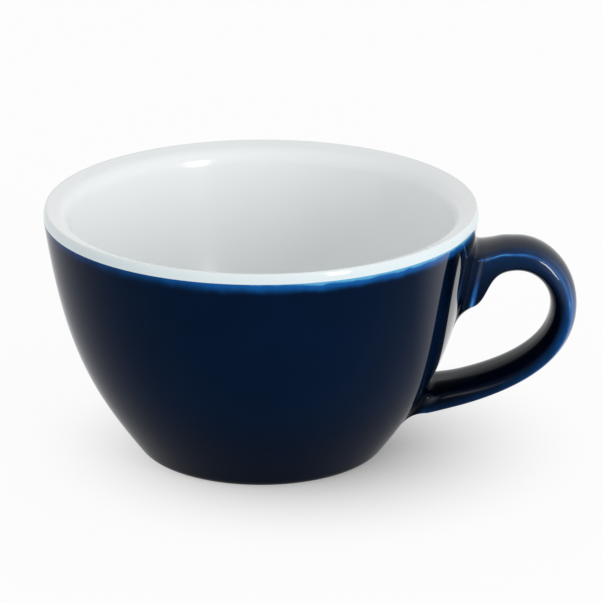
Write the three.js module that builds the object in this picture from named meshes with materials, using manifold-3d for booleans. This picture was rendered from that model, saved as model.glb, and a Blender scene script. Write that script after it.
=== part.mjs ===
// Flat white cup: a porcelain bowl and an ear handle, cast apart, joined with slip and coated with glaze.
// Millimetres, +Z up. The cup stands on z = 0 with its handle along +X. The origin lies under the middle of
// its overall length.
import * as THREE from "three";
import { mergeVertices } from "three/addons/utils/BufferGeometryUtils.js";
import Module from "manifold-3d";

// Outside of the bowl, measured over the glaze. Leans are degrees from upright.
const rimDiameter = 90;
const cupHeight = 53.8;
const footDiameter = 49.3; // where the line of the wall meets the table
const footEdge = 2.2; // rounded off that corner, along the table and up the wall
const footLean = 37;
const rimLean = 8;

// Rim and inside of the bowl
const rimShoulder = 2.7; // from the top of the rim down to its widest circle, where the blue begins
const rimCrestInset = 3; // from the widest circle in to the top of the rim
const wallThickness = 4.9;
const floorThickness = 4.2;
const floorDiameter = 26; // flat of the floor
const coveHeight = 20; // where the inside leaves the wall's line and curves to the floor

// Foot ring and the recess inside it
const footRingWidth = 3;
const recessDepth = 2.4;
const recessCove = 4; // from the ring in to the flat of the recess
const recessPull = 0.75; // fullness of that curve, as a share of its width
const bareFootRise = 0.15; // height that is wiped clean of glaze at the ring

// Glaze and slip
const glazeThickness = 0.4;
const slipThickness = 0.5;
const clearance = 0.3; // between pieces that are cut to each other

// Handle. Drops are taken from the top of the rim, rises from the table, and slopes in degrees from level.
const handleProjection = 20.6; // past the rim's widest circle
const handleWidth = 13.2;
const crestDrop = 7.9; // top of the loop
const loopDrop = 22.3; // widest point of the loop
const loopRadius = 12.55; // from that point in to the loop's top
const crestThickness = 6.4; // of the strap at the top
const sideThickness = 5.5; // of the strap at the widest point
const upperFootDrop = 8.3;
const upperFootHeight = 13;
const lowerFootRise = 9.7;
const lowerFootHeight = 6.55;
const footFillet = 2.5;
const footSpread = 0.7; // how far the strap widens on each side at a foot
const spreadRun = 6; // length of strap over which it widens
const crownDrop = 1.7; // fall of the strap's outer face from its middle to its edges
const ridgeRadius = 0.75; // edge of that face
const gripDepth = 2.6; // rounding of the finger side, through the strap
const gripReach = 6; // and across it
const outerSlopes = { upper: 10.8, lower: 1.5 };
const innerSlopes = { upper: 24.5, lower: 12.9 };

// Fullness of the free curves: the pull at each end, as a share of the chord
const wallPulls = [0.332, 0.503];
const lipPulls = [0.5, 0.5];
const covePulls = [0.5, 0.55];
const outerPulls = { upper: [0.667, 0.576], lower: [0.481, 0.031] };
const innerPulls = { upper: [0.316, 0.603], lower: [0.248, 0.62] };

// Fineness of the facets
const turns = 48;
const profileSteps = { foot: 2, wall: 8, shoulder: 3, lip: 2, liningWall: 5, cove: 5, recess: 3 };
const railSteps = { upper: 7, loop: 8, lower: 8 };
const sectionSteps = { crown: 3, ridge: 2, grip: 3, fillet: 3 };

const wasm = await Module();
wasm.setup();

const rimRadius = rimDiameter / 2;
const radians = THREE.MathUtils.degToRad;
const at = (radius, height) => new THREE.Vector2(radius, height);
const leaning = (degrees) => at(Math.sin(radians(degrees)), Math.cos(radians(degrees)));
const sloping = (degrees) => at(Math.cos(radians(degrees)), Math.sin(radians(degrees)));
const inward = at(-1, 0);
const outward = at(1, 0);
const downward = at(0, -1);

// A cubic curve that leaves its start along one direction and reaches its end from another.
function blend(start, startDirection, end, endDirection, pulls) {
  const chord = start.distanceTo(end);
  const first = start.clone().addScaledVector(startDirection, pulls[0] * chord);
  const second = end.clone().addScaledVector(endDirection, pulls[1] * chord);
  return new THREE.CubicBezierCurve(start, first, second, end);
}

// The point at a share of a profile curve, with the normal to the left of travel, which is into the clay.
function onCurve(curve, share) {
  const along = curve.getTangent(share);
  return { point: curve.getPoint(share), normal: at(-along.y, along.x) };
}

function sample(curve, count, from = 0, to = 1) {
  const shares = Array.from({ length: count + 1 }, (_, k) => from + ((to - from) * k) / count);
  return shares.map((share) => onCurve(curve, share));
}

const shifted = (places, distance) =>
  places.map(({ point, normal }) => point.clone().addScaledVector(normal, distance));

// Profile of the glazed cup, followed from the middle of the underside, round the outside and rim, to the
// middle of the floor.
const footCorner = at(footDiameter / 2, 0);
const footRingOuter = at(footCorner.x - footEdge, 0);
const footRingInner = at(footRingOuter.x - footRingWidth, 0);
const wallFoot = footCorner.clone().addScaledVector(leaning(footLean), footEdge);
const recess = new THREE.QuadraticBezierCurve(
  at(footRingInner.x - recessCove, recessDepth),
  at(footRingInner.x - recessCove * (1 - recessPull), recessDepth),
  footRingInner,
);
const footRound = new THREE.QuadraticBezierCurve(footRingOuter, footCorner, wallFoot);

const crest = at(rimRadius - rimCrestInset, cupHeight);
const shoulderStart = -Math.atan(Math.tan(radians(rimLean)) * (rimShoulder / rimCrestInset));
const shoulder = new THREE.EllipseCurve(
  crest.x,
  crest.y - rimShoulder,
  rimCrestInset,
  rimShoulder,
  shoulderStart,
  Math.PI / 2,
);
const wallTop = shoulder.getPoint(0);
const wall = blend(wallFoot, leaning(footLean), wallTop, leaning(rimLean).negate(), wallPulls);

// The share of the wall curve at a height, by halving.
const closeEnough = 1e-9;
function wallShare(height) {
  let low = 0;
  let high = 1;
  while (high - low > closeEnough) {
    const middle = (low + high) / 2;
    if (wall.getPoint(middle).y < height) low = middle;
    else high = middle;
  }
  return low;
}

// Inside of the bowl: the wall's line moved in, then a cove down to the floor
const coveShare = wallShare(coveHeight);
const liningWall = sample(wall, profileSteps.liningWall, 1, coveShare).map(({ point, normal }) => ({
  point: point.clone().addScaledVector(normal, wallThickness),
  normal: normal.clone().negate(),
}));
const liningTop = liningWall[0].point;
const lip = blend(crest, inward, liningTop, leaning(rimLean), lipPulls);
const floorHeight = recessDepth + floorThickness;
const coveStart = liningWall[liningWall.length - 1].point;
const coveDirection = wall.getTangent(coveShare).negate();
const cove = blend(coveStart, coveDirection, at(floorDiameter / 2, floorHeight), outward, covePulls);

// Shares at which a glaze stops: at the wiped foot ring and at the rim's widest circle
const recessStop = 1 - Math.sqrt(bareFootRise / recessDepth);
const footStart = Math.sqrt(bareFootRise / wallFoot.y);
const colourShare = shoulderStart / (shoulderStart - Math.PI / 2);

const underside = { point: at(0, recessDepth), normal: at(0, 1) };
const floorMiddle = { point: at(0, floorHeight), normal: at(0, -1) };
const baseSkin = [underside, ...sample(recess, profileSteps.recess, 0, recessStop)];
const outerSkin = [
  ...sample(footRound, profileSteps.foot, footStart, 1),
  ...sample(wall, profileSteps.wall).slice(1),
  onCurve(shoulder, colourShare),
];
const innerSkin = [
  ...sample(shoulder, profileSteps.shoulder, colourShare, 1),
  ...sample(lip, profileSteps.lip).slice(1),
  ...liningWall.slice(1),
  ...sample(cove, profileSteps.cove).slice(1),
  floorMiddle,
];

// Revolved pieces
const revolve = (profile) => new THREE.LatheGeometry(profile, turns).rotateX(Math.PI / 2);

// A coat of glaze between a stretch of the profile and the clay under it.
function coat(skin) {
  const surface = shifted(skin, 0);
  const clay = shifted(skin, glazeThickness).reverse();
  const onAxis = surface[0].x === 0 || clay[0].x === 0;
  return revolve(onAxis ? fromAxis([...surface, ...clay]) : [...surface, ...clay, surface[0]]);
}

// The same closed profile, started where it leaves the axis.
function fromAxis(profile) {
  const first = profile.findIndex((point, k) => point.x === 0 && profile[(k + 1) % profile.length].x > 0);
  return [...profile.slice(first), ...profile.slice(0, first)];
}

function bowlClay() {
  const base = shifted(baseSkin, glazeThickness);
  const outside = shifted(outerSkin, glazeThickness);
  const inside = shifted(innerSkin, glazeThickness).slice(1);
  const ring = [recess.getPoint(recessStop), footRingInner, footRingOuter, footRound.getPoint(footStart)];
  return revolve([...base, ...ring, ...outside, ...inside]);
}

// Everything within the outside wall, grown by a distance over the clay.
function withinWall(distance) {
  const side = shifted(outerSkin, glazeThickness - distance);
  const lowest = at(0, side[0].y);
  const highest = at(0, side[side.length - 1].y);
  return solid(revolve([lowest, ...side, highest]));
}

function solid(geometry) {
  const bare = new THREE.BufferGeometry();
  bare.setAttribute("position", geometry.getAttribute("position"));
  bare.setIndex(geometry.getIndex());
  const merged = mergeVertices(bare);
  const vertProperties = merged.getAttribute("position").array;
  const triVerts = new Uint32Array(merged.getIndex().array);
  return new wasm.Manifold(new wasm.Mesh({ numProp: 3, vertProperties, triVerts }));
}

function geometryOf(made) {
  const { vertProperties, triVerts } = made.getMesh();
  const geometry = new THREE.BufferGeometry();
  geometry.setAttribute("position", new THREE.BufferAttribute(vertProperties, 3));
  geometry.setIndex(new THREE.BufferAttribute(triVerts, 1));
  geometry.computeVertexNormals();
  return geometry;
}

// Handle: sections between an inner and an outer rail, each rail from the upper foot over the loop to the
// lower foot
const loopMiddle = at(rimRadius + handleProjection - loopRadius, cupHeight - loopDrop);
const crestHeight = cupHeight - crestDrop;
const upperFoot = {
  outer: cupHeight - upperFootDrop,
  inner: cupHeight - upperFootDrop - upperFootHeight,
};
const lowerFoot = { outer: lowerFootRise, inner: lowerFootRise + lowerFootHeight };

// A point off the outside of the wall at a height.
function offWall(height, distance) {
  const { point, normal } = onCurve(wall, wallShare(height));
  return point.addScaledVector(normal, -distance);
}

function rail(side, across, above, slopes, pulls) {
  const start = offWall(upperFoot[side], footFillet);
  const end = offWall(lowerFoot[side], footFillet);
  const top = at(loopMiddle.x, loopMiddle.y + above);
  const reach = at(loopMiddle.x + across, loopMiddle.y);
  const upper = blend(start, sloping(slopes.upper), top, inward, pulls.upper);
  const loop = new THREE.EllipseCurve(loopMiddle.x, loopMiddle.y, across, above, Math.PI / 2, 0, true);
  const lower = blend(reach, downward, end, sloping(slopes.lower), pulls.lower);
  return [
    ...upper.getSpacedPoints(railSteps.upper),
    ...loop.getSpacedPoints(railSteps.loop).slice(1),
    ...lower.getSpacedPoints(railSteps.lower).slice(1),
  ];
}

const crestRise = crestHeight - loopMiddle.y;
const outerRail = rail("outer", loopRadius, crestRise, outerSlopes, outerPulls);
const innerRail = rail(
  "inner",
  loopRadius - sideThickness,
  crestRise - crestThickness,
  innerSlopes,
  innerPulls,
);

// The strap's sections, which widen towards each foot
const middles = outerRail.map((outer, k) => outer.clone().lerp(innerRail[k], 0.5));
const runs = middles.map((middle, k) => middle.distanceTo(middles[Math.max(k - 1, 0)]));
for (let k = 1; k < runs.length; k++) runs[k] += runs[k - 1];
const strapLength = runs[runs.length - 1];
const strapStations = outerRail.map((outer, k) => {
  const fromFoot = Math.min(runs[k], strapLength - runs[k]);
  const widening = Math.max(0, 1 - fromFoot / spreadRun) ** 2;
  return { outer, inner: innerRail[k], width: handleWidth + 2 * footSpread * widening, wrap: 0 };
});

// A face of a foot in profile: it runs on from its rail to the wall and turns up or down along it.
const turnUp = 1;
const turnDown = -1;
function runOut(height, slope, turn) {
  const share = wallShare(height);
  const start = offWall(height, footFillet);
  const intoClay = onCurve(wall, share).normal;
  const out = sloping(slope);
  const corner = start.clone().addScaledVector(out, footFillet / out.dot(intoClay));
  const end = corner.clone().addScaledVector(wall.getTangent(share), turn * footFillet);
  return { line: new THREE.QuadraticBezierCurve(start, corner, end), intoClay };
}

// Sections of a foot, from the strap to inside the wall. They swell with its faces and wrap round the wall.
const rootDepth = wallThickness / 2; // how far a foot runs into the wall before it is cut to it
function footStations(outerFace, innerFace) {
  const lastShare = 1 - Math.sqrt(clearance / footFillet);
  const flare = [];
  for (let k = 1; k <= sectionSteps.fillet; k++) {
    const share = (lastShare * k) / sectionSteps.fillet;
    flare.push({
      outer: outerFace.line.getPoint(share),
      inner: innerFace.line.getPoint(share),
      width: handleWidth + 2 * (footSpread + footFillet * share ** 2),
      wrap: 1 - (1 - share) ** 2,
    });
  }
  const last = flare[flare.length - 1];
  const root = {
    outer: last.outer.clone().addScaledVector(outerFace.intoClay, rootDepth),
    inner: last.inner.clone().addScaledVector(innerFace.intoClay, rootDepth),
    width: last.width,
    wrap: 1,
  };
  return [...flare, root];
}

const upperStations = footStations(
  runOut(upperFoot.outer, outerSlopes.upper, turnUp),
  runOut(upperFoot.inner, innerSlopes.upper, turnDown),
).reverse();
const lowerStations = footStations(
  runOut(lowerFoot.outer, outerSlopes.lower, turnDown),
  runOut(lowerFoot.inner, innerSlopes.lower, turnUp),
);

// Outline of the strap as points across it and out from its finger side: a crowned outer face, straight
// sides and a rounded finger side.
function strapSection(depth, width, inset) {
  const half = width / 2 - inset;
  const top = depth - inset;
  const ridge = Math.max(ridgeRadius - inset, clearance);
  const grip = { rise: gripDepth - inset, reach: gripReach - inset };
  const crown = (across) => top - crownDrop * (across / half) ** 2;
  const flat = half - ridge;
  const side = [];
  for (let k = 0; k <= sectionSteps.crown; k++) {
    const across = (flat * k) / sectionSteps.crown;
    side.push(at(across, crown(across)));
  }
  const ridgeStart = Math.atan((2 * crownDrop * flat) / half ** 2);
  for (let k = 0; k <= sectionSteps.ridge; k++) {
    const angle = ridgeStart + ((Math.PI / 2 - ridgeStart) * k) / sectionSteps.ridge;
    side.push(at(flat + ridge * Math.sin(angle), crown(flat) - ridge * (1 - Math.cos(angle))));
  }
  for (let k = 0; k <= sectionSteps.grip; k++) {
    const angle = ((Math.PI / 2) * k) / sectionSteps.grip;
    const across = half - grip.reach * (1 - Math.cos(angle));
    side.push(at(across, inset + grip.rise * (1 - Math.sin(angle))));
  }
  const mirrored = side.slice(1).reverse();
  return [...side, ...mirrored.map((point) => at(-point.x, point.y))];
}

function ring({ outer, inner, width, wrap }, inset) {
  const out = outer.clone().sub(inner);
  const depth = out.length();
  out.normalize();
  return strapSection(depth, width, inset).map((place) => {
    const radius = inner.x + out.x * place.y;
    const wrapped = Math.sqrt(radius ** 2 - place.x ** 2);
    return new THREE.Vector3(
      THREE.MathUtils.lerp(radius, wrapped, wrap),
      place.x,
      inner.y + out.y * place.y,
    );
  });
}

// A closed skin over a row of sections, with flat ends.
function loft(stations, inset) {
  const rings = stations.map((station) => ring(station, inset));
  const count = rings[0].length;
  const last = (rings.length - 1) * count;
  const index = [];
  for (let k = 0; k < last; k += count) {
    for (let j = 0; j < count; j++) {
      const next = (j + 1) % count;
      index.push(k + j, k + count + j, k + count + next, k + j, k + count + next, k + next);
    }
  }
  for (let j = 1; j < count - 1; j++) {
    index.push(0, j, j + 1, last, last + j + 1, last + j);
  }
  const geometry = new THREE.BufferGeometry().setFromPoints(rings.flat());
  geometry.setIndex(index);
  return solid(geometry);
}

const wholeHandle = (inset) => loft([...upperStations, ...strapStations, ...lowerStations], inset);
const upperEnd = (inset) => loft([...upperStations, strapStations[0]], inset);
const lowerEnd = (inset) => loft([strapStations[strapStations.length - 1], ...lowerStations], inset);

// From the clay of the wall outwards at each foot: a clearance, the slip, a clearance, the handle
const slipSeat = clearance;
const slipTop = slipSeat + slipThickness;
const handleSeat = slipTop + clearance;
const handleClay = wholeHandle(glazeThickness);
const slipLayer = withinWall(slipTop).subtract(withinWall(slipSeat));
const slipInset = glazeThickness + clearance;

// Glazed porcelain finishes
const finish = (color, roughness) => new THREE.MeshStandardMaterial({ color, roughness, metalness: 0 });
const porcelain = finish(0xe9e5dd, 0.6);
const slip = finish(0xd9d3c7, 0.8);
const whiteGlaze = finish(0xf0f1f1, 0.08);
const blueGlaze = finish(0x0b1c3a, 0.06);

const pieces = {
  cup_body: [bowlClay(), porcelain],
  handle: [geometryOf(handleClay.subtract(withinWall(handleSeat))), porcelain],
  upper_joint_slip: [geometryOf(upperEnd(slipInset).intersect(slipLayer)), slip],
  lower_joint_slip: [geometryOf(lowerEnd(slipInset).intersect(slipLayer)), slip],
  inner_glaze: [coat(innerSkin), whiteGlaze],
  outer_glaze: [geometryOf(solid(coat(outerSkin)).subtract(handleClay)), blueGlaze],
  handle_glaze: [
    geometryOf(wholeHandle(0).subtract(handleClay).subtract(withinWall(glazeThickness + clearance))),
    blueGlaze,
  ],
  base_glaze: [coat(baseSkin), blueGlaze],
};

const cup = new THREE.Group();
cup.position.x = -handleProjection / 2;
for (const [name, [geometry, material]] of Object.entries(pieces)) {
  const piece = new THREE.Mesh(geometry, material);
  piece.name = name;
  cup.add(piece);
}

const part = new THREE.Group();
part.add(cup);

export default part;
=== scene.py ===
"""Looks of a flat white cup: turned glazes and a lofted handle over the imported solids, in their frame."""

import math
from typing import NamedTuple

import bmesh
import bpy
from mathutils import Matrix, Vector
from mathutils.geometry import interpolate_bezier


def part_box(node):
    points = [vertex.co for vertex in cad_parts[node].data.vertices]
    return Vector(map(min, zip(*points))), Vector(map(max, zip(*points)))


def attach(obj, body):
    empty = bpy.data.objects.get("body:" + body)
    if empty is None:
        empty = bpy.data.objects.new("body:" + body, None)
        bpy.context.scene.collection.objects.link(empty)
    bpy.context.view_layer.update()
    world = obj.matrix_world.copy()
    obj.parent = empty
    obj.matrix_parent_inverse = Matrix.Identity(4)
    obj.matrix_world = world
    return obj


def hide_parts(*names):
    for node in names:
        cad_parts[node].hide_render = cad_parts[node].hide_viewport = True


bl_info = {
    "name": "Flat White Cup",
    "version": (1, 0, 0),
    "blender": (4, 5, 0),
    "location": "View3D > Sidebar > Cup",
    "description": "Builds the looks of a glazed porcelain cup over its packed solids",
    "category": "Object",
}

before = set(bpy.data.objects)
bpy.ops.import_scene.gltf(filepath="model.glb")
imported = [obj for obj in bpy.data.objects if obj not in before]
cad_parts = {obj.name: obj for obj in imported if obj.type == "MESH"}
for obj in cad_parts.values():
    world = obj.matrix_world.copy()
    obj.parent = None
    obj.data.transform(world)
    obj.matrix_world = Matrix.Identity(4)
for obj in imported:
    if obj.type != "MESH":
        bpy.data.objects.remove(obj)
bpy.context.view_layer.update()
outside_low, outside_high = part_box("outer_glaze")
lining_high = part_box("inner_glaze")[1]
handle_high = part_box("handle_glaze")[1]

# Where the bowl's axis stands, and the steps round a turned piece
BOWL_AXIS = (outside_low.x + outside_high.x) / 2
TURNS = 160

# How near points have to be to become one, and the angles from which an edge stays sharp
WELD = 1e-6
TURNED_CREASE = math.radians(30)
LOFTED_CREASE = math.radians(40)

BLACK = (0, 0, 0, 1)
WHITE = (1, 1, 1, 1)


def length(name, description, default):
    """A size in metres."""
    return bpy.props.FloatProperty(
        name=name, description=description, default=default, unit="LENGTH", precision=5
    )


def slant(name, description, default):
    """An angle, given in degrees."""
    return bpy.props.FloatProperty(
        name=name, description=description, default=math.radians(default), subtype="ANGLE"
    )


def share(name, description, *default):
    """One or more fullnesses, as shares of a chord."""
    return bpy.props.FloatVectorProperty(
        name=name, description=description, default=default, size=len(default), min=0, max=1
    )


def tint(name, description, *default):
    """A linear colour."""
    return bpy.props.FloatVectorProperty(
        name=name, description=description, default=default, size=3, subtype="COLOR", min=0, max=1
    )


class BowlSizes(bpy.types.PropertyGroup):
    """Sizes of the turned bowl, over the glaze."""

    rim_diameter: length("Rim diameter", "Widest circle of the rim", outside_high.x - outside_low.x)
    height: length("Height", "From the table to the top of the rim", lining_high.z)
    foot_diameter: length("Foot diameter", "Where the line of the wall meets the table", 0.0493)
    foot_edge: length("Foot edge", "Rounded off that corner, along the table and up the wall", 0.0022)
    foot_lean: slant("Foot lean", "Lean of the wall at the foot, from upright", 37)
    rim_lean: slant("Rim lean", "Lean of the wall at the rim, from upright", 8)
    wall_pulls: share("Wall pulls", "Fullness of the wall at its foot and top", 0.332, 0.503)
    rim_shoulder: length("Rim shoulder", "From the solid rim's top down to its widest circle", 0.0027)
    rim_inset: length("Rim inset", "From the widest circle in to the solid rim's top", 0.003)
    crest_rise: length("Crest rise", "From the widest circle up to the top of the rim", 0.00205)
    crest_inset: length("Crest inset", "From the widest circle in to the top of the rim", 0.0006)
    lip_slope: slant("Lip slope", "Fall of the rim's top towards the inside, from level", 16.8)
    lip_round: length("Lip round", "Rounded off the rim's inner edge, on its top and inside", 0.0022)
    wall_thickness: length("Wall thickness", "Thickness of the wall with both glazes", 0.0049)
    floor_thickness: length("Floor thickness", "From the recess to the floor", 0.0042)
    floor_diameter: length("Floor diameter", "Flat of the floor", 0.026)
    cove_height: length("Cove height", "Where the inside leaves the wall and curves to the floor", 0.02)
    cove_pulls: share("Cove pulls", "Fullness of that curve at its top and bottom", 0.5, 0.55)
    ring_width: length("Foot ring width", "Flat of the bare ring", 0.003)
    recess_depth: length("Recess depth", "Depth of the recess inside the ring", 0.0024)
    recess_cove: length("Recess cove", "From the ring in to the flat of the recess", 0.004)
    bare_rise: length("Bare rise", "Height that is wiped clean of glaze at the ring", 0.00015)
    glaze: length("Glaze", "Thickness of a coat of glaze", 0.0004)


class HandleSizes(bpy.types.PropertyGroup):
    """Sizes of the lofted handle, over the glaze."""

    reach: length("Reach", "Furthest point of the loop from the bowl's axis", handle_high.x - BOWL_AXIS)
    width: length("Width", "Width of the strap", 0.0132)
    crest_drop: length("Crest drop", "From the top of the rim to the top of the loop", 0.0079)
    loop_drop: length("Loop drop", "From the top of the rim to the loop's widest point", 0.0223)
    loop_radius: length("Loop radius", "From the widest point in to the loop's top", 0.01255)
    crest_thickness: length("Crest thickness", "Strap at the top of the loop", 0.0064)
    side_thickness: length("Side thickness", "Strap at the widest point", 0.0055)
    upper_drop: length("Upper foot drop", "From the top of the rim to the upper foot", 0.0083)
    upper_height: length("Upper foot height", "Height of the upper foot", 0.013)
    lower_rise: length("Lower foot rise", "From the table to the lower foot", 0.0097)
    lower_height: length("Lower foot height", "Height of the lower foot", 0.00655)
    fillet: length("Foot fillet", "Radius with which a foot runs out into the wall", 0.0025)
    spread: length("Foot spread", "How far the strap widens on each side at a foot", 0.0007)
    spread_run: length("Spread run", "Length of strap over which it widens", 0.006)
    sink: length("Sink", "How far inside the wall a foot ends", 0.0006)
    crown: length("Crown", "Fall of the outer face from its middle to its edges", 0.0017)
    ridge: length("Ridge radius", "Edge of the outer face", 0.00075)
    grip_depth: length("Grip depth", "Rounding of the finger side, through the strap", 0.0026)
    grip_reach: length("Grip reach", "Rounding of the finger side, across the strap", 0.006)
    outer_upper_slope: slant("Outer upper slope", "Slope of the outer line at the upper foot", 10.8)
    outer_lower_slope: slant("Outer lower slope", "Slope of the outer line at the lower foot", 1.5)
    inner_upper_slope: slant("Inner upper slope", "Slope of the inner line at the upper foot", 24.5)
    inner_lower_slope: slant("Inner lower slope", "Slope of the inner line at the lower foot", 12.9)
    outer_pulls: share(
        "Outer pulls", "Fullness of the outer line, upper then lower", 0.667, 0.576, 0.481, 0.031
    )
    inner_pulls: share(
        "Inner pulls", "Fullness of the inner line, upper then lower", 0.316, 0.603, 0.248, 0.62
    )


class GlazeColours(bpy.types.PropertyGroup):
    """Colours of the glazes and the clay, and where they change."""

    navy: tint("Navy", "Blue glaze where it is thick", 0.0012, 0.00744, 0.0264)
    cobalt: tint("Cobalt", "Blue glaze where it thins", 0.006, 0.09, 0.32)
    sky: tint("Sky", "Blue glaze where it is thinnest", 0.1, 0.36, 0.58)
    white: tint("White", "White glaze", 0.85, 0.875, 0.88)
    # Bluish where thin white glaze lies over the blue, and darker than the white, partly as painted shade on
    # the rim's outer shoulder
    tinge_and_shade: tint("Tinge", "White glaze where it meets the blue", 0.66, 0.745, 0.77)
    clay: tint("Clay", "Bare porcelain", 0.78, 0.75, 0.69)
    slip: tint("Slip", "Joint slip", 0.68, 0.64, 0.56)
    band: length("Blue band", "Height of the thin glaze under the rim", 0.0027)
    band_waver: length("Band waver", "How far the edge of that band wanders", 0.0012)
    tinge_reach: length("Tinge reach", "From the rim's widest circle in to the end of the tinge", 0.0009)


class StageSizes(bpy.types.PropertyGroup):
    """Place of the camera and strength of the light."""

    elevation: slant("Camera elevation", "Above the horizon", 19.36)
    distance: length("Camera distance", "From the point that it looks at", 1.0)
    target: bpy.props.FloatVectorProperty(
        name="Camera target",
        description="Point that the camera looks at",
        default=(-0.001959, 0, 0.031814),
        subtype="TRANSLATION",
        unit="LENGTH",
    )
    lens: bpy.props.FloatProperty(
        name="Lens", description="Focal length of the camera", default=286.9, unit="CAMERA"
    )
    floor_colour: tint("Floor", "Colour of the floor", 0.94, 0.94, 0.94)
    floor_glow: bpy.props.FloatProperty(
        name="Floor glow",
        description="Share of plain white in the floor, away from the cup",
        default=0.92,
        min=0,
        max=1,
    )


class Wire:
    """A node's output. Sums, products and powers of wires add Math nodes."""

    def __init__(self, tree, kind, settings=None, inputs=None, output=0):
        node = tree.nodes.new(kind)
        for key, value in (settings or {}).items():
            setattr(node, key, value)
        for key, value in (inputs or {}).items():
            if isinstance(value, Wire):
                tree.links.new(value.socket, node.inputs[key])
            else:
                node.inputs[key].default_value = value
        self.tree = tree
        self.node = node
        self.socket = node.outputs[output] if node.outputs else None

    def math(self, operation, *values):
        return Wire(self.tree, "ShaderNodeMath", {"operation": operation}, dict(enumerate(values)))

    def __add__(self, other):
        return self.math("ADD", self, other)

    def __sub__(self, other):
        return self.math("SUBTRACT", self, other)

    def __rsub__(self, other):
        return self.math("SUBTRACT", other, self)

    def __mul__(self, other):
        return self.math("MULTIPLY", self, other)

    def __pow__(self, other):
        return self.math("POWER", self, other)

    __radd__ = __add__
    __rmul__ = __mul__

    def most(self, other):
        return self.math("MAXIMUM", self, other)

    def part(self, output):
        """Another output of the same node."""
        other = object.__new__(Wire)
        other.tree, other.node, other.socket = self.tree, self.node, self.node.outputs[output]
        return other

    def span(self, low, high):
        """A value that is low where this is 0 and high where it is 1."""
        return low + (high - low) * self

    def step(self, low, high, kind="SMOOTHSTEP"):
        """A rise from 0 at low to 1 at high, smooth or LINEAR."""
        inputs = {"Value": self, "From Min": low, "From Max": high}
        return Wire(self.tree, "ShaderNodeMapRange", {"interpolation_type": kind}, inputs)

    def mix(self, first, second):
        """The first colour where this is 0, the second where it is 1."""
        inputs = {0: self, 6: first, 7: second}
        return Wire(self.tree, "ShaderNodeMix", {"data_type": "RGBA"}, inputs, output=2)


def sight(tree):
    """1 where the camera sees a point itself, and 1 where it is mirrored or behind something clear."""
    path = Wire(tree, "ShaderNodeLightPath")
    return path.part("Is Camera Ray"), path.part("Is Glossy Ray").most(path.part("Is Transmission Ray"))


def opaque(colour):
    return (*colour, 1)


def grain(place, scale, detail=2.0):
    """Soft noise from 0 to 1, fixed to the piece."""
    inputs = {"Vector": place, "Scale": scale, "Detail": detail, "Roughness": 0.5}
    return Wire(place.tree, "ShaderNodeTexNoise", None, inputs)


def axes(place):
    """A place taken apart into X, Y and Z."""
    return Wire(place.tree, "ShaderNodeSeparateXYZ", None, {0: place})


def stored(tree, name):
    """A value that is stored at the points of the piece."""
    return Wire(tree, "ShaderNodeAttribute", {"attribute_name": name}, output="Fac")


def new_finish(name):
    """An empty material, and the place of each point on the piece."""
    finish = bpy.data.materials.new(name)
    finish.use_nodes = True
    finish.node_tree.nodes.clear()
    return finish, Wire(finish.node_tree, "ShaderNodeTexCoord", output="Object")


def close_finish(finish, colour, roughness, bump, **constants):
    """Joins colour, roughness and bump to a shader."""
    tree = finish.node_tree
    inputs = {"Base Color": colour, "Roughness": roughness, "Normal": bump, **constants}
    shader = Wire(tree, "ShaderNodeBsdfPrincipled", None, inputs)
    Wire(tree, "ShaderNodeOutputMaterial", None, {"Surface": shader})
    return finish


def ripple(height, strength, depth):
    inputs = {"Height": height, "Strength": strength, "Distance": depth}
    return Wire(height.tree, "ShaderNodeBump", None, inputs)


class Grade(NamedTuple):
    """A value that goes from the first to the last between two places on an axis."""

    axis: str
    start: float
    end: float
    first: float
    last: float

    def over(self, parts):
        return parts.part(self.axis).step(self.start, self.end).span(self.first, self.last)


# How the blue band under the rim fades, how it brightens along the rim, and how thin plain cobalt glaze is
BAND_EASE = 1.4
ALONG_RIM = Grade("X", start=-0.045, end=0.012, first=0.35, last=1.15)
COBALT_THINNESS = 0.7

# How much the white glaze varies, how dark stained clay is, and how much of its stains is fine grain
WHITE_CLOUDINESS = 0.015
STAIN = 0.82
FINE_SHARE = 0.3


def blue_finish(name, colours, colour_line, shade, joint_shade, sheen):
    """Dark blue glaze that breaks to bright blue where it is thin.

    The three grades are the painted shade that darkens the glaze towards the bottom, the painted shade where
    the handle meets the wall, which on the wall is also a painted reflection of the handle, and the weight
    of its gloss.
    """
    finish, place = new_finish(name)
    tree = finish.node_tree
    parts = axes(place)
    waver = grain(place, scale=260)
    cloud = grain(place, scale=90, detail=3)
    height = parts.part("Z") + waver.span(-0.5, 0.5) * colours.band_waver
    band = height.step(colour_line - colours.band, colour_line, "LINEAR") ** BAND_EASE
    thin = (band * ALONG_RIM.over(parts)).most(stored(tree, "thin") * waver.span(0.57, 1.37))
    # Painted shade: the first two grades fade the navy towards black, times the glaze's own cloudy patches
    depth = shade.over(parts) * joint_shade.over(parts) * cloud.span(0.67, 1)
    deep = depth.mix(BLACK, opaque(colours.navy))
    bright = thin.step(COBALT_THINNESS, 1).mix(opaque(colours.cobalt), opaque(colours.sky))
    colour = thin.step(0, COBALT_THINNESS).mix(deep, bright)
    roughness = cloud.span(0.035, 0.065)
    bump = ripple(grain(place, scale=140, detail=1), strength=0.04, depth=0.0003)
    gloss = {
        "IOR": 1.13,
        "Specular Tint": (0.25, 0.5, 1, 1),
        "Coat Weight": sheen.over(parts).most(stored(tree, "glossy")),
        "Coat Roughness": 0.03,
        "Coat IOR": 1.5,
    }
    return close_finish(finish, colour, roughness, bump, **gloss)


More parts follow.
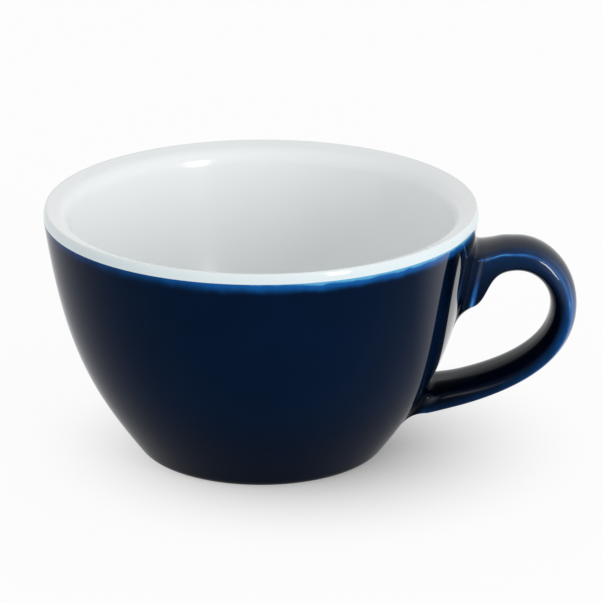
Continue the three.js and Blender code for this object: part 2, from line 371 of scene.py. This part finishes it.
def white_finish(colours, rim):
    """White glaze with a faint cloudiness, tinged bluish where it meets the blue on the outside of the rim,
    and darker there, partly as painted shade on that outward-facing shoulder.
    """
    finish, place = new_finish("milk_white")
    parts = axes(place)
    cloud = grain(place, scale=70, detail=3)
    pale = opaque([min(1, part * (1 + WHITE_CLOUDINESS)) for part in colours.white])
    dull = opaque([part * (1 - WHITE_CLOUDINESS) for part in colours.white])
    east = parts.part("X") - BOWL_AXIS
    north = parts.part("Y")
    from_axis = (east * east + north * north) ** 0.5
    outside = from_axis.step(rim - colours.tinge_reach, rim)
    tinge_and_shade = outside * cloud.span(0.7, 1.3)
    colour = tinge_and_shade.mix(cloud.mix(dull, pale), opaque(colours.tinge_and_shade))
    roughness = outside.span(0.14, 0.05) + grain(place, scale=220).span(0, 0.04)
    bump = ripple(grain(place, scale=120, detail=1), strength=0.05, depth=0.0003)
    return close_finish(finish, colour, roughness, bump, IOR=1.5)


def clay_finish(name, colour):
    """Unglazed clay: matt and finely grained."""
    if name in bpy.data.materials:
        return bpy.data.materials[name]
    finish, place = new_finish(name)
    fine = grain(place, scale=3500, detail=4)
    stain = grain(place, scale=160, detail=3)
    dull = opaque([part * STAIN for part in colour])
    patches = stain * (1 - FINE_SHARE) + fine * FINE_SHARE
    worn = patches.step(0.35, 0.7).mix(dull, opaque(colour))
    return close_finish(finish, worn, fine.span(0.55, 0.85), ripple(fine, strength=0.3, depth=0.0002))


def at(radius, height):
    """A point by its distance from the bowl's axis and its height, in the handle's plane."""
    return Vector((radius, 0, height))


def leaning(angle):
    """The way up, leaning outwards from upright."""
    return at(math.sin(angle), math.cos(angle))


def sloping(angle):
    """The way outwards, sloping up from level."""
    return at(math.cos(angle), math.sin(angle))


def curve(start, start_way, end, end_way, pulls, count):
    """Points of a curve that leaves its start one way and reaches its end from another."""
    chord = (end - start).length
    first = start + start_way * (pulls[0] * chord)
    second = end + end_way * (pulls[1] * chord)
    return interpolate_bezier(start, first, second, end, count)


def rounded(start, corner, end, count):
    """Points of a curve that rounds a corner off."""
    shares = [k / (count - 1) for k in range(count)]
    return [start * (1 - s) ** 2 + corner * (2 * s * (1 - s)) + end * s**2 for s in shares]


def lengths_along(points):
    """How far along a line each of its points is."""
    lengths = [0]
    for low, high in zip(points, points[1:]):
        lengths.append(lengths[-1] + (high - low).length)
    return lengths


def evenly(points, count):
    """The same line in a number of even steps."""
    lengths = lengths_along(points)
    placed = [points[0]]
    last = 1
    for step in range(1, count):
        goal = lengths[-1] * step / count
        while lengths[last] < goal:
            last += 1
        share_of_step = (goal - lengths[last - 1]) / (lengths[last] - lengths[last - 1])
        placed.append(points[last - 1].lerp(points[last], share_of_step))
    return placed + [points[-1]]


def between(stations, place):
    """The value at a place, between the stations on each side of it."""
    for (low, low_value), (high, high_value) in zip(stations, stations[1:]):
        if place <= high:
            return low_value + (high_value - low_value) * (place - low) / (high - low)
    return stations[-1][1]


def peak(gap, width):
    """1 where a gap is 0, falling to 0 where it is as wide as the width on either side."""
    return max(0, 1 - abs(gap) / width)


def moved_in(points, distance):
    """A profile moved to the left of its travel, which is into the clay."""
    moved = []
    for k, point in enumerate(points):
        along = (points[min(k + 1, len(points) - 1)] - points[max(k - 1, 0)]).normalized()
        shifted = point + Vector((-along.z, 0, along.x)) * distance
        shifted.x = 0 if point.x == 0 else shifted.x
        moved.append(shifted)
    return moved


class Bowl:
    """Profile of the glazed bowl, followed from the underside, round the outside and rim, to the floor."""

    # Points along each curve of the profile, and steps along each straight part
    WALL_POINTS = 64
    FOOT_POINTS = 17
    RIM_POINTS = 15
    LIP_POINTS = 14
    COVE_POINTS = 26
    RECESS_POINTS = 17
    STRAIGHT_STEPS = 4

    # Angle from the widest circle at which the rim's curve starts, and fullness of the recess's cove
    RIM_START = -0.08
    RECESS_PULL = 0.75

    # Half the height over which the slope of the wall is measured
    SLOPE_STEP = 1e-4

    def __init__(self, sizes):
        self.sizes = sizes
        rim = sizes.rim_diameter / 2
        corner = at(sizes.foot_diameter / 2, 0)
        self.ring_outer = at(corner.x - sizes.foot_edge, 0)
        self.ring_inner = at(self.ring_outer.x - sizes.ring_width, 0)
        self.colour_line = sizes.height - sizes.rim_shoulder
        self.crest = at(rim - sizes.crest_inset, self.colour_line + sizes.crest_rise)
        foot_way = leaning(sizes.foot_lean)
        wall_foot = corner + foot_way * sizes.foot_edge
        start = -math.atan(math.tan(sizes.rim_lean) * sizes.rim_shoulder / sizes.rim_inset)
        wall_top = at(
            rim - sizes.rim_inset * (1 - math.cos(start)),
            self.colour_line + sizes.rim_shoulder * math.sin(start),
        )
        rim_way = -leaning(sizes.rim_lean)
        self.wall = curve(wall_foot, foot_way, wall_top, rim_way, sizes.wall_pulls, self.WALL_POINTS)
        foot = self.glazed(rounded(self.ring_outer, corner, wall_foot, self.FOOT_POINTS))
        self.outside = foot + self.wall[1:] + [self.rim_point(self.RIM_START), self.rim_point(0)]
        self.inside = self.rim_and_lining()
        self.base = self.recess()

    def glazed(self, points):
        """The points of a curve that lie above the bare part of the ring."""
        return [point for point in points if point.z >= self.sizes.bare_rise]

    def rim_point(self, angle):
        """A point of the rim's outer curve, by its angle from the widest circle."""
        across = self.sizes.crest_inset * math.cos(angle)
        above = self.sizes.crest_rise * math.sin(angle)
        return at(self.crest.x + across, self.colour_line + above)

    def rim_and_lining(self):
        """From the widest circle over the rim, down the inside of the wall, to the middle of the floor."""
        sizes = self.sizes
        steps = self.STRAIGHT_STEPS
        last = self.RIM_POINTS - 1
        rim_round = [self.rim_point(math.pi / 2 * k / last) for k in range(self.RIM_POINTS)]

        lining = moved_in(self.wall, sizes.wall_thickness)[::-1]
        lining = [point for point, outer in zip(lining, self.wall[::-1]) if outer.z >= sizes.cove_height]
        fall = -sloping(sizes.lip_slope)
        lip_corner = self.crest + fall * ((self.crest.x - lining[0].x) / math.cos(sizes.lip_slope))
        lip_start = lip_corner - fall * sizes.lip_round
        lining = [point for point in lining if point.z <= lip_corner.z - sizes.lip_round]
        top = [self.crest.lerp(lip_start, k / steps) for k in range(1, steps)]
        lip = rounded(lip_start, lip_corner, lining[0], self.LIP_POINTS)

        floor = sizes.recess_depth + sizes.floor_thickness
        floor_edge = at(sizes.floor_diameter / 2, floor)
        cove_way = (lining[-1] - lining[-2]).normalized()
        cove = curve(lining[-1], cove_way, floor_edge, at(1, 0), sizes.cove_pulls, self.COVE_POINTS)
        flat = [at(sizes.floor_diameter / 2 * k / steps, floor) for k in reversed(range(steps))]
        return rim_round + top + lip + lining[1:] + cove[1:] + flat

    def recess(self):
        """From the middle of the recess under the bowl out to the ring."""
        depth = self.sizes.recess_depth
        edge = self.ring_inner.x - self.sizes.recess_cove
        corner = at(edge + self.RECESS_PULL * self.sizes.recess_cove, depth)
        cove = self.glazed(rounded(at(edge, depth), corner, self.ring_inner, self.RECESS_POINTS))
        steps = self.STRAIGHT_STEPS
        return [at(edge * k / steps, depth) for k in range(steps)] + cove

    def radius(self, height):
        """Radius of the outside at a height on the wall."""
        for low, high in zip(self.wall, self.wall[1:]):
            if high.z >= height:
                return low.x + (high.x - low.x) * (height - low.z) / (high.z - low.z)
        return self.wall[-1].x

    def off_wall(self, height, distance):
        """A point off the wall at a height, square to it."""
        rise = self.SLOPE_STEP
        slope = (self.radius(height + rise) - self.radius(height - rise)) / (2 * rise)
        return at(self.radius(height), height) + at(1, -slope).normalized() * distance


def new_piece(name):
    """The object that was just added, with its name."""
    piece = bpy.context.object
    piece.name = name
    piece.data.name = name
    return piece


def turned(name, profile, closed):
    """A piece spun round the bowl's axis from a profile that is drawn point by point."""
    bpy.ops.object.select_all(action="DESELECT")
    bpy.ops.mesh.primitive_plane_add(location=(0, 0, 0))
    piece = new_piece(name)
    bpy.ops.object.mode_set(mode="EDIT")
    bpy.ops.mesh.merge(type="CENTER")
    middle = Vector((BOWL_AXIS, 0, 0))
    bpy.ops.transform.translate(value=middle + profile[0])
    for last, point in zip(profile, profile[1:]):
        bpy.ops.mesh.extrude_vertices_move(TRANSFORM_OT_translate={"value": point - last})
    if closed:
        bpy.ops.mesh.extrude_vertices_move(TRANSFORM_OT_translate={"value": profile[0] - profile[-1]})
    bpy.ops.mesh.select_all(action="SELECT")
    bpy.ops.mesh.spin(steps=TURNS, angle=math.tau, center=middle, axis=(0, 0, 1))
    bpy.ops.mesh.select_all(action="SELECT")
    bpy.ops.mesh.remove_doubles(threshold=WELD)
    bpy.ops.mesh.normals_make_consistent(inside=False)
    bpy.ops.object.mode_set(mode="OBJECT")
    bpy.ops.object.shade_smooth_by_angle(angle=TURNED_CREASE)
    return piece


def seat(piece, finish, slot, *nodes):
    """Gives a piece its finish and its body, and hides the solids that it stands for."""
    piece.data.materials.clear()
    piece.data.materials.append(finish)
    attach(piece, "root")
    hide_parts(*nodes)


class CUP_OT_bowl(bpy.types.Operator):
    """Turn the bare porcelain bowl, which shows at the foot ring"""

    bl_idname = "cup.bowl"
    bl_label = "Bowl"

    def execute(self, context):
        sizes = context.scene.cup_bowl
        bowl = Bowl(sizes)
        base = moved_in(bowl.base, sizes.glaze)
        ring = [bowl.base[-1], bowl.ring_inner, bowl.ring_outer, bowl.outside[0]]
        outside = moved_in(bowl.outside, sizes.glaze)
        inside = moved_in(bowl.inside, sizes.glaze)
        piece = turned("porcelain_bowl", base + ring + outside + inside[1:], False)
        seat(piece, clay_finish("bare_clay", context.scene.cup_colours.clay), "porcelain", "cup_body")
        return {"FINISHED"}


class CUP_OT_white_glaze(bpy.types.Operator):
    """Turn the white glaze that lines the bowl and runs over the rim"""

    bl_idname = "cup.white_glaze"
    bl_label = "White glaze"

    def execute(self, context):
        sizes = context.scene.cup_bowl
        skin = Bowl(sizes).inside
        piece = turned("white_lining", moved_in(skin, sizes.glaze)[::-1] + skin, False)
        finish = white_finish(context.scene.cup_colours, sizes.rim_diameter / 2)
        seat(piece, finish, "white_glaze", "inner_glaze")
        return {"FINISHED"}


class CUP_OT_blue_glaze(bpy.types.Operator):
    """Turn the blue glaze outside the bowl and in the recess under it"""

    bl_idname = "cup.blue_glaze"
    bl_label = "Blue glaze"

    def execute(self, context):
        sizes = context.scene.cup_bowl
        bowl = Bowl(sizes)
        # Painted shade: the wall's blue glaze darkens towards the bottom
        shade = Grade("Z", start=0.004, end=0.024, first=0.6, last=1)
        # Painted shade and painted reflection of the handle: the wall darkens next to the handle
        joint_shade = Grade("X", start=0.0262, end=0.0285, first=1, last=0.45)
        sheen = Grade("X", start=0.02, end=0.031, first=0, last=0.9)
        finish = blue_finish("deep_blue", context.scene.cup_colours, bowl.colour_line, shade, joint_shade, sheen)
        wall = turned("blue_outside", bowl.outside + moved_in(bowl.outside, sizes.glaze)[::-1], True)
        seat(wall, finish, "blue_glaze", "outer_glaze")
        base = turned("blue_base", bowl.base + moved_in(bowl.base, sizes.glaze)[::-1], False)
        seat(base, finish, "blue_glaze", "base_glaze")
        return {"FINISHED"}


# Steps over the strap's crown, ridge, side and finger side, and how they gather at the ridge on two of them
CROWN_STEPS = 12
RIDGE_STEPS = 8
SIDE_STEPS = 8
GRIP_STEPS = 14
CROWN_EASE = 1.6
SIDE_EASE = 1.3


def strap_outline(depth, sizes, width, softness):
    """Outline of the strap, and the seam where its sides round over to the finger side.

    A point of it is (across, out, gap). The gap is the distance from the ridge's middle, below 0 on the
    sides, and the seam is given as a gap too.
    """
    half = width / 2
    ridge = sizes.ridge * softness
    flat = half - ridge
    start = math.atan(2 * sizes.crown * flat / half**2)
    turn = math.pi / 2 - start
    arc = ridge * turn
    rows = []

    def crown(across):
        return depth - sizes.crown * (across / half) ** 2

    for k in range(CROWN_STEPS):
        across = flat * (1 - (1 - k / CROWN_STEPS) ** CROWN_EASE)
        rows.append((across, crown(across), flat - across + arc / 2))
    for k in range(RIDGE_STEPS + 1):
        angle = start + turn * k / RIDGE_STEPS
        out = crown(flat) - ridge * (1 - math.cos(angle))
        rows.append((flat + ridge * math.sin(angle), out, arc * (0.5 - k / RIDGE_STEPS)))
    low, high = sizes.grip_depth, rows[-1][1]
    seam = low - high - arc / 2
    for k in range(1, SIDE_STEPS):
        fall = (high - low) * (k / SIDE_STEPS) ** SIDE_EASE
        rows.append((half, high - fall, -fall - arc / 2))
    for k in range(GRIP_STEPS + 1):
        angle = math.pi / 2 * k / GRIP_STEPS
        across = half - sizes.grip_reach * (1 - math.cos(angle))
        gap = seam - (half - across) - low * math.sin(angle)
        rows.append((across, low * (1 - math.sin(angle)), gap))
    rows.append((0, 0, -high - half - arc / 2))
    mirrored = [(-across, out, gap) for across, out, gap in rows[-2:0:-1]]
    return rows + mirrored, seam


class Handle:
    """Sections of the handle, from inside the wall at the upper foot, over the loop, to the lower foot."""

    # In what follows, a pair is a share of the strap's length from its upper end, and the value there

    # How thin the glaze is on a fine line down the ridge
    LINE = (
        (0, 0.85), (0.08, 0.92), (0.16, 0.85), (0.2, 0.6), (0.24, 0.45), (0.28, 0.6), (0.33, 0.75),
        (0.4, 0.82), (0.44, 0.6), (0.5, 0.4), (0.6, 0.2), (1, 0.1),
    )
    # How thin it is beside that line on the outer face, and how far that spreads
    OUTER_BREAK = (
        (0, 0.25), (0.2, 0.28), (0.28, 0.35), (0.33, 0.45), (0.385, 0.7), (0.42, 0.68), (0.49, 0.57),
        (0.65, 0.5), (0.8, 0.3), (0.93, 0.1), (1, 0.3),
    )
    OUTER_SPREAD = ((0, 0.003), (0.2, 0.003), (0.36, 0.0055), (0.8, 0.0055), (1, 0.0015))
    # How thin it is beside that line on the side, and how far that spreads
    SIDE_BREAK = (
        (0, 0.2), (0.2, 0.18), (0.33, 0.3), (0.385, 0.32), (0.49, 0.36), (0.65, 0.28),
        (0.8, 0.2), (1, 0.22),
    )
    SIDE_SPREAD = (
        (0, 0.006), (0.2, 0.005), (0.33, 0.0025), (0.385, 0.0022), (0.49, 0.003),
        (0.65, 0.0026), (1, 0.0026),
    )
    # How glossy the ridge is, and how far that spreads
    GLOSS = (
        (0, 1), (0.03, 0.5), (0.1, 0.3), (0.2, 0.5), (0.24, 1), (0.33, 1), (0.4, 0.5), (0.5, 0.2), (1, 0.2),
    )
    GLOSS_WIDTH = ((0, 0.0008), (0.15, 0.0008), (0.22, 0.002), (0.36, 0.002), (0.45, 0.0006), (1, 0.0006))
    # How glossy the seam to the finger side is
    SEAM_GLOSS = ((0, 0), (0.7, 0), (0.78, 0.5), (0.88, 1), (0.96, 1), (0.98, 0.3), (1, 0))
    # How glossy the outer face is
    OUTER_GLOSS = ((0, 0.4), (0.25, 0.4), (0.36, 0.15), (1, 0.04))
    # How many times its radius the ridge is rounded
    SOFTNESS = ((0, 1), (0.12, 1), (0.23, 3), (0.32, 3), (0.42, 1.2), (1, 1))

    # How far the fine line and the seam's gloss spread, how far from the ridge the outer face has its full
    # gloss, and how far over a foot the gloss of the ridge and the seam runs
    LINE_WIDTH = 0.0005
    SEAM_WIDTH = 0.0004
    OUTER_GLOSS_RUN = 0.002
    GLINT_RUN = 0.0016

    # How thin and how glossy the glaze is down the edge of the upper and the lower foot, by share of height
    FOOT_BREAK = (
        ((0, 0.15), (0.2, 0.15), (0.45, 0.3), (0.6, 0.85), (0.95, 1.05), (1, 0.9)),
        ((0, 0), (0.6, 0.1), (0.8, 0.3), (0.9, 0.75), (1, 0.85)),
    )
    FOOT_GLOSS = (
        ((0, 0.5), (0.1, 1), (0.35, 1), (0.5, 0.4), (1, 0.2)),
        ((0, 0), (0.2, 0), (0.32, 1), (0.42, 0.6), (0.5, 0.1), (0.65, 0), (1, 0)),
    )
    # How far that edge is from the end of the strap, and how far it spreads at the upper and the lower foot
    EDGE_PLACE = 0.0006
    EDGE_SPREAD = (0.00055, 0.0011)

    # Rings in a foot, points in the three parts of a rail, and the even steps into which each part is cut
    FOOT_STEPS = 20
    RAIL_POINTS = (60, 61, 80)
    RAIL_STEPS = (30, 48, 52)

    def __init__(self, bowl, sizes, height):
        self.bowl = bowl
        self.sizes = sizes
        self.middle = at(sizes.reach - sizes.loop_radius, height - sizes.loop_drop)
        crest_rise = sizes.loop_drop - sizes.crest_drop
        upper_outer = height - sizes.upper_drop
        upper_inner = upper_outer - sizes.upper_height
        lower_outer = sizes.lower_rise
        lower_inner = lower_outer + sizes.lower_height
        outer = self.rail(
            (upper_outer, lower_outer),
            (sizes.loop_radius, crest_rise),
            (sizes.outer_upper_slope, sizes.outer_lower_slope),
            sizes.outer_pulls,
        )
        inner = self.rail(
            (upper_inner, lower_inner),
            (sizes.loop_radius - sizes.side_thickness, crest_rise - sizes.crest_thickness),
            (sizes.inner_upper_slope, sizes.inner_lower_slope),
            sizes.inner_pulls,
        )
        upper_foot = self.foot(
            self.run_out(upper_outer, sizes.outer_upper_slope, 1),
            self.run_out(upper_inner, sizes.inner_upper_slope, -1),
            0,
        )
        lower_foot = self.foot(
            self.run_out(lower_outer, sizes.outer_lower_slope, -1),
            self.run_out(lower_inner, sizes.inner_lower_slope, 1),
            1,
        )
        self.rings = upper_foot[::-1] + self.strap(outer, inner) + lower_foot

    def rail(self, heights, radii, slopes, pulls):
        """One line of the loop: from the upper foot to its top, a quarter round, and to the lower foot."""
        start, end = (self.bowl.off_wall(height, self.sizes.fillet) for height in heights)
        across, above = radii
        upper_way, lower_way = (sloping(slope) for slope in slopes)
        upper_points, round_points, lower_points = self.RAIL_POINTS
        upper = curve(start, upper_way, self.middle + at(0, above), at(-1, 0), pulls[:2], upper_points)
        quarter = [math.pi / 2 * (1 - k / (round_points - 1)) for k in range(round_points)]
        loop = [self.middle + at(across * math.cos(a), above * math.sin(a)) for a in quarter]
        lower = curve(self.middle + at(across, 0), at(0, -1), end, lower_way, pulls[2:], lower_points)
        parts = [evenly(part, steps) for part, steps in zip((upper, loop, lower), self.RAIL_STEPS)]
        return parts[0] + parts[1][1:] + parts[2][1:]

    def strap(self, outer, inner):
        """Rings along the rails, wider towards each foot."""
        sizes = self.sizes
        lengths = lengths_along([(out + into) / 2 for out, into in zip(outer, inner)])
        rings = []
        for out, into, run in zip(outer, inner, lengths):
            from_foot = min(run, lengths[-1] - run)
            lower = run > from_foot
            widening = 2 * sizes.spread * peak(from_foot, sizes.spread_run) ** 2
            edge = peak(from_foot + self.EDGE_PLACE, self.EDGE_SPREAD[lower])
            rings.append(self.ring(out, into, sizes.width + widening, None, run / lengths[-1], edge))
        return rings

    def run_out(self, height, slope, turn):
        """One face of a foot in profile: on from its rail to the wall, and up (1) or down (-1) along it."""
        fillet = self.sizes.fillet
        start = self.bowl.off_wall(height, fillet)
        outward = (start - self.bowl.off_wall(height, 0)).normalized()
        out = sloping(slope)
        corner = start - out * (fillet / out.dot(outward))
        end = corner + at(-outward.z, outward.x) * (turn * fillet)
        face = rounded(start, corner, end, self.FOOT_STEPS + 1)[1:]
        return face + [face[-1] - outward * self.sizes.sink]

    def foot(self, outer_face, inner_face, place):
        """Rings that swell from the strap, wrap round the wall and end inside it."""
        sizes = self.sizes
        rings = []
        for k, (outer, inner) in enumerate(zip(outer_face, inner_face), 1):
            run = min(1, k / self.FOOT_STEPS)
            distance = sizes.fillet * (1 - run) ** 2 if k <= self.FOOT_STEPS else -sizes.sink
            width = sizes.width + 2 * (sizes.spread + sizes.fillet * run**2)
            edge = peak(sizes.fillet - distance - self.EDGE_PLACE, self.EDGE_SPREAD[place])
            rings.append(self.ring(outer, inner, width, distance, place, edge))
        return rings

    def ring(self, outer, inner, width, distance, place, edge):
        """One section: its points, and how thin and how glossy the glaze is at each.

        The distance is that from the wall in a foot, and None along the strap. The edge is 1 on the edge of
        a foot and 0 away from it.
        """
        out = outer - inner
        depth = out.length
        out.normalize()
        top, bottom = max(outer.z, inner.z), min(outer.z, inner.z)
        outline, seam = strap_outline(depth, self.sizes, width, between(self.SOFTNESS, place))
        lower = place > 0.5
        ring = []
        for across, along, gap in outline:
            point = inner + out * along
            thin, glossy = self.ridge_glaze(gap, seam, place)
            if distance is not None:
                self.wrap(point, across, distance)
                thin *= edge
                glossy *= peak(self.sizes.fillet - distance, self.GLINT_RUN)
            if gap > 0:
                glossy = max(glossy, between(self.OUTER_GLOSS, place) * min(1, gap / self.OUTER_GLOSS_RUN))
            elif edge > 0:
                down = (top - point.z) / (top - bottom)
                thin = max(thin, edge * between(self.FOOT_BREAK[lower], down))
                glossy = max(glossy, edge * between(self.FOOT_GLOSS[lower], down))
            ring.append((Vector((BOWL_AXIS + point.x, across, point.z)), thin, glossy))
        return ring

    def wrap(self, point, across, distance):
        """Moves a point of a foot onto the round of the wall, the more the nearer it is to the wall."""
        wall = self.bowl.off_wall(point.z, distance).x
        wrapped = math.sqrt(wall**2 - across**2)
        point.x += (wrapped - point.x) * min(1, 1 - distance / self.sizes.fillet)

    def ridge_glaze(self, gap, seam, place):
        """How thin and how glossy the glaze is by the ridge and the seam."""
        face = (self.OUTER_BREAK, self.OUTER_SPREAD) if gap > 0 else (self.SIDE_BREAK, self.SIDE_SPREAD)
        beside, spread = (between(stations, place) for stations in face)
        line = between(self.LINE, place) * peak(gap, self.LINE_WIDTH)
        ridge_gloss = between(self.GLOSS, place) * peak(gap, between(self.GLOSS_WIDTH, place))
        seam_gloss = between(self.SEAM_GLOSS, place) * peak(gap - seam, self.SEAM_WIDTH)
        return max(line, beside * peak(gap, spread)), max(ridge_gloss, seam_gloss)


class CUP_OT_handle(bpy.types.Operator):
    """Loft the glazed handle from the wall, over the loop, back to the wall"""

    bl_idname = "cup.handle"
    bl_label = "Handle"

    def execute(self, context):
        bowl_sizes = context.scene.cup_bowl
        bowl = Bowl(bowl_sizes)
        rings = Handle(bowl, context.scene.cup_handle, bowl_sizes.height).rings
        bpy.ops.object.select_all(action="DESELECT")
        bpy.ops.mesh.primitive_circle_add(vertices=len(rings[0]))
        piece = new_piece("blue_handle")
        bpy.ops.object.mode_set(mode="EDIT")
        mesh = bmesh.from_edit_mesh(piece.data)
        place = mesh.verts.layers.int.new("place")
        for name in ("thin", "glossy"):
            mesh.verts.layers.float.new(name)
        mesh.verts.ensure_lookup_table()
        for k, vert in enumerate(mesh.verts):
            vert[place] = k
        for k, ring in enumerate(rings):
            if k > 0:
                bpy.ops.mesh.extrude_edges_move()
                mesh = bmesh.from_edit_mesh(piece.data)
            place = mesh.verts.layers.int["place"]
            thin, glossy = (mesh.verts.layers.float[name] for name in ("thin", "glossy"))
            for vert in mesh.verts:
                if vert.select:
                    vert.co, vert[thin], vert[glossy] = ring[vert[place]]
        bmesh.update_edit_mesh(piece.data)
        bpy.ops.mesh.select_all(action="SELECT")
        bpy.ops.mesh.normals_make_consistent(inside=False)
        bpy.ops.object.mode_set(mode="OBJECT")
        bpy.ops.object.modifier_add(type="SOLIDIFY")
        coat = piece.modifiers[-1]
        coat.thickness = bowl_sizes.glaze
        coat.offset = -1
        bpy.ops.object.modifier_apply(modifier=coat.name)
        bpy.ops.object.shade_smooth_by_angle(angle=LOFTED_CREASE)
        # Painted shade: the handle's blue glaze darkens towards its lower part
        shade = Grade("Z", start=0.028, end=0.041, first=0.3, last=1)
        # Painted shade: the handle darkens where its feet meet the wall
        joint_shade = Grade("X", start=0.028, end=0.034, first=0.6, last=1)
        sheen = Grade("Z", start=0.036, end=0.045, first=0.04, last=0.12)
        finish = blue_finish("handle_blue", context.scene.cup_colours, bowl.colour_line, shade, joint_shade, sheen)
        seat(piece, finish, "blue_glaze", "handle_glaze")
        return {"FINISHED"}


class CUP_OT_hidden_clay(bpy.types.Operator):
    """Give the solids under the glaze their clay and slip"""

    bl_idname = "cup.hidden_clay"
    bl_label = "Hidden clay"

    def execute(self, context):
        colours = context.scene.cup_colours
        clay = clay_finish("bare_clay", colours.clay)
        slip = clay_finish("dried_slip", colours.slip)
        for name, finish in (("handle", clay), ("upper_joint_slip", slip), ("lower_joint_slip", slip)):
            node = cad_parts[name]
            node.data.materials.clear()
            node.data.materials.append(finish)
        return {"FINISHED"}


class CUP_OT_stage(bpy.types.Operator):
    """Set the floor, the light and the camera"""

    bl_idname = "cup.stage"
    bl_label = "Stage"

    # Side of the floor, and how far from the middle it turns white where it is seen and where it is mirrored
    FLOOR_SIZE = 6
    SEEN_FADE = (0, 0.06)
    MIRRORED_FADE = (0.015, 0.08)

    # Strength of the sky's light from the horizon and from above, and height of the point the lamp faces
    SKY_LIGHT = (1.1, 0.55)
    LAMP_AIM = 0.04

    def execute(self, context):
        stage = context.scene.cup_stage
        self.floor(stage)
        self.sky(context.scene)
        self.lamp("key", right=40, above=13, distance=0.9, size=(0.18, 0.34), energy=2.7)
        self.camera(context.scene, stage)
        return {"FINISHED"}

    def floor(self, stage):
        """Pale paper that keeps the shadow by the cup and is nearly plain white further off."""
        bpy.ops.object.select_all(action="DESELECT")
        bpy.ops.mesh.primitive_plane_add(size=self.FLOOR_SIZE, location=(0, 0, 0))
        floor = new_piece("floor")
        finish, place = new_finish("pale_floor")
        tree = finish.node_tree
        paper = Wire(tree, "ShaderNodeBsdfDiffuse", None, {"Color": opaque(stage.floor_colour)})
        glow = Wire(tree, "ShaderNodeEmission", None, {"Color": WHITE, "Strength": 1})
        away = Wire(tree, "ShaderNodeVectorMath", {"operation": "LENGTH"}, {0: place}, output="Value")
        direct, mirrored = sight(tree)
        plain = (direct * away.step(*self.SEEN_FADE)).most(mirrored * away.step(*self.MIRRORED_FADE))
        lit = Wire(tree, "ShaderNodeMixShader", None, {0: plain * stage.floor_glow, 1: paper, 2: glow})
        Wire(tree, "ShaderNodeOutputMaterial", None, {"Surface": lit})
        floor.data.materials.append(finish)

    def sky(self, scene):
        """White where it is seen or mirrored, with a soft light that is strongest from the horizon."""
        world = bpy.data.worlds.new("studio")
        scene.world = world
        world.use_nodes = True
        tree = world.node_tree
        tree.nodes.clear()
        up = axes(Wire(tree, "ShaderNodeTexCoord", output="Generated")).part("Z")
        direct, mirrored = sight(tree)
        seen = direct.most(mirrored)
        soft = up.most(0).span(*self.SKY_LIGHT)
        strength = seen + soft * (1 - seen)
        light = Wire(tree, "ShaderNodeBackground", None, {"Color": WHITE, "Strength": strength})
        Wire(tree, "ShaderNodeOutputWorld", None, {"Surface": light})

    def lamp(self, name, right, above, distance, size, energy):
        """A soft box, placed by its angles right of the camera and above the horizon."""
        light = bpy.data.lights.new(name, "AREA")
        light.shape = "RECTANGLE"
        light.size, light.size_y = size
        light.energy = energy
        lamp = bpy.data.objects.new(name, light)
        bpy.context.collection.objects.link(lamp)
        turn, lift = math.radians(right), math.radians(above)
        way = Vector((math.sin(turn) * math.cos(lift), -math.cos(turn) * math.cos(lift), math.sin(lift)))
        lamp.location = Vector((BOWL_AXIS, 0, self.LAMP_AIM)) + way * distance
        lamp.rotation_euler = way.to_track_quat("Z", "Y").to_euler()

    def camera(self, scene, stage):
        lens = bpy.data.cameras.new("camera")
        lens.lens = stage.lens
        lens.clip_start = 0.01
        camera = bpy.data.objects.new("camera", lens)
        scene.collection.objects.link(camera)
        back = Vector((0, -math.cos(stage.elevation), math.sin(stage.elevation)))
        camera.location = Vector(stage.target) + back * stage.distance
        camera.rotation_euler = back.to_track_quat("Z", "Y").to_euler()
        scene.camera = camera
        scene.view_settings.view_transform = "Standard"


class CUP_PT_cup(bpy.types.Panel):
    """Lists the cup's pieces and sizes"""

    bl_label = "Flat White Cup"
    bl_idname = "CUP_PT_cup"
    bl_space_type = "VIEW_3D"
    bl_region_type = "UI"
    bl_category = "Cup"

    def draw(self, context):
        for operator in OPERATORS:
            self.layout.operator(operator.bl_idname)
        for name in GROUPS:
            group = getattr(context.scene, name)
            box = self.layout.box()
            for key in group.bl_rna.properties.keys():
                if key not in ("rna_type", "name"):
                    box.prop(group, key)


GROUPS = {
    "cup_bowl": BowlSizes,
    "cup_handle": HandleSizes,
    "cup_colours": GlazeColours,
    "cup_stage": StageSizes,
}
OPERATORS = (
    CUP_OT_bowl,
    CUP_OT_white_glaze,
    CUP_OT_blue_glaze,
    CUP_OT_handle,
    CUP_OT_hidden_clay,
    CUP_OT_stage,
)


def register():
    for name, group in GROUPS.items():
        bpy.utils.register_class(group)
        setattr(bpy.types.Scene, name, bpy.props.PointerProperty(type=group))
    for operator in OPERATORS:
        bpy.utils.register_class(operator)
    bpy.utils.register_class(CUP_PT_cup)


def unregister():
    bpy.utils.unregister_class(CUP_PT_cup)
    for operator in reversed(OPERATORS):
        bpy.utils.unregister_class(operator)
    for name, group in GROUPS.items():
        delattr(bpy.types.Scene, name)
        bpy.utils.unregister_class(group)


def main():
    register()
    bpy.ops.cup.bowl()
    bpy.ops.cup.white_glaze()
    bpy.ops.cup.blue_glaze()
    bpy.ops.cup.handle()
    bpy.ops.cup.hidden_clay()
    bpy.ops.cup.stage()


if __name__ == "__main__":
    main()
